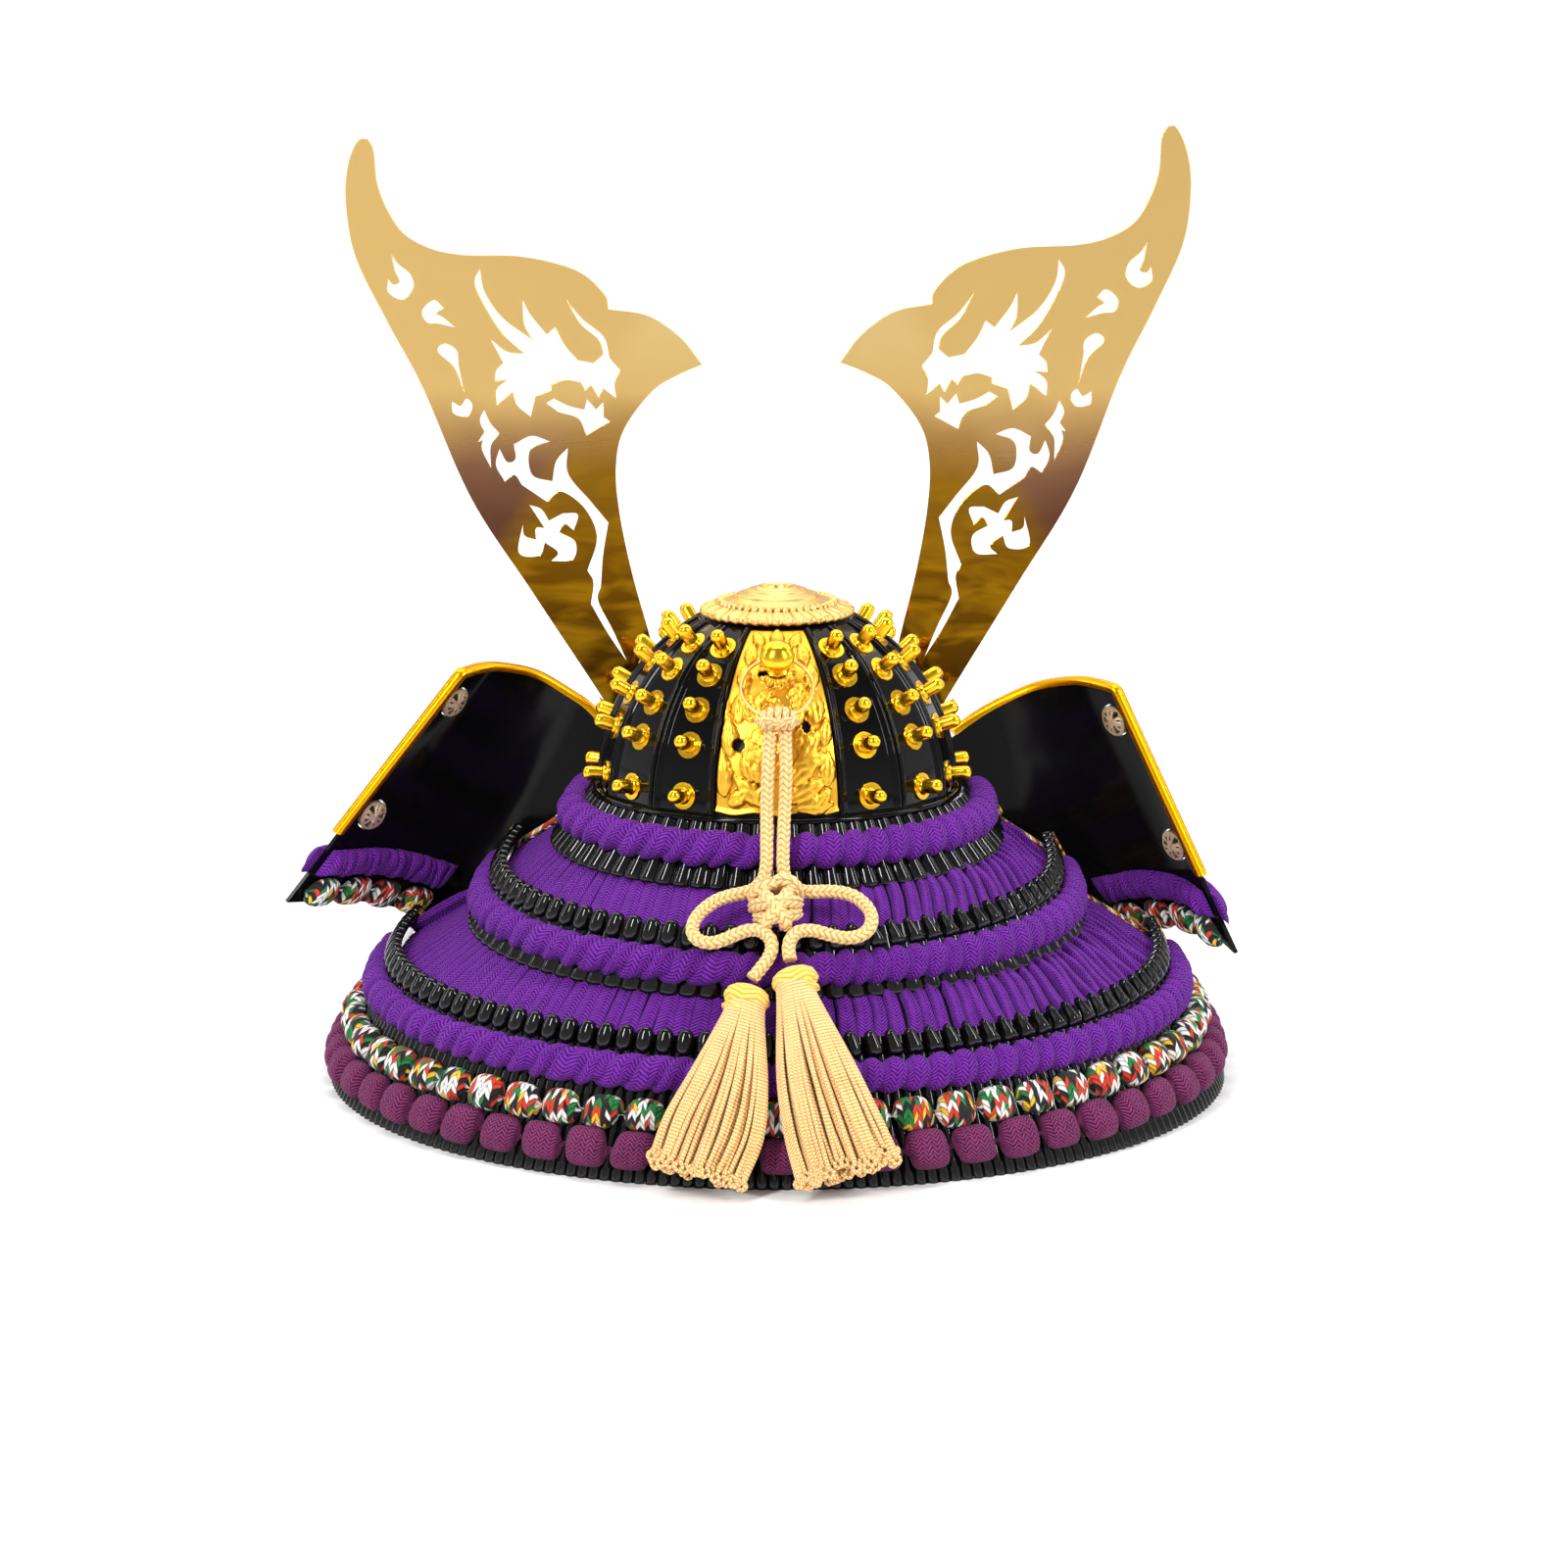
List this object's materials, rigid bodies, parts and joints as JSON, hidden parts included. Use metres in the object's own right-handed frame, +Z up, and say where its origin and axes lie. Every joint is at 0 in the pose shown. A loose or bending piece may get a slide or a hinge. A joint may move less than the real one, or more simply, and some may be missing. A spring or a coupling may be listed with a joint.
{
  "type": "kabuto samurai helmet",
  "caption": "Display samurai helmet: riveted black bowl, flared laced neck guard, lacquered turn-backs, pierced flat crest horns and a cord with tassels at the back.",
  "frame": {"origin": "middle of the helmet's footprint, cord and tassels left out, on the surface that the neck guard's rim rests on", "axes": "+Z up, +Y towards the helmet's front, +X towards the wearer's right-hand turn-back as seen from behind"},
  "size_m": [0.325, 0.2466, 0.3087],
  "materials": {
    "lacquer": "glossy black lacquer",
    "gilt": "bright yellow gilt",
    "palegilt": "matte pale gilt",
    "hornbrass": "brushed pale gilt sheet",
    "purplesilk": "knitted purple lacing",
    "maroonsilk": "maroon braid knots",
    "mixedbraid": "multicoloured flecked braid",
    "peachcord": "pale peach twisted cord"
  },
  "bodies": {
    "root": {"bowl_shell": "lacquer", "bowl_plate_right_1": "lacquer", "bowl_plate_right_2": "lacquer", "bowl_plate_right_3": "lacquer", "bowl_plate_right_4": "lacquer", "bowl_plate_right_5": "lacquer", "bowl_plate_right_6": "lacquer", "bowl_plate_left_1": "lacquer", "bowl_plate_left_2": "lacquer", "bowl_plate_left_3": "lacquer", "bowl_plate_left_4": "lacquer", "bowl_plate_left_5": "lacquer", "bowl_plate_left_6": "lacquer", "gilt_plate_back": "gilt", "gilt_plate_front": "gilt", "crown_finial": "palegilt", "waist_ring": "lacquer", "lame_1": "lacquer", "lame_2": "lacquer", "lame_3": "lacquer", "lacing_band_1": "purplesilk", "lacing_band_2": "purplesilk", "lacing_roll_1": "purplesilk", "lacing_roll_2": "purplesilk", "lacing_roll_3": "purplesilk", "knot_row_multicolour": "mixedbraid", "knot_row_maroon": "maroonsilk", "turnback_panel_left": "lacquer", "turnback_trim_left": "gilt", "turnback_roll_back_left": "purplesilk", "turnback_roll_front_left": "purplesilk", "turnback_knots_left": "mixedbraid", "turnback_crest_upper_left": "palegilt", "turnback_crest_lower_left": "palegilt", "turnback_panel_right": "lacquer", "turnback_trim_right": "gilt", "turnback_roll_back_right": "purplesilk", "turnback_roll_front_right": "purplesilk", "turnback_knots_right": "mixedbraid", "turnback_crest_upper_right": "palegilt", "turnback_crest_lower_right": "palegilt", "visor": "lacquer", "visor_rim": "gilt", "horn_right": "hornbrass", "horn_left": "hornbrass", "crest_holder": "gilt", "ball_stud": "gilt", "hanging_ring": "gilt", "cord_left": "peachcord", "cord_right": "peachcord", "hitch_knot": "peachcord", "bow_knot": "peachcord", "tassel_left": "peachcord", "tassel_right": "peachcord"}
  },
  "joints": []
}
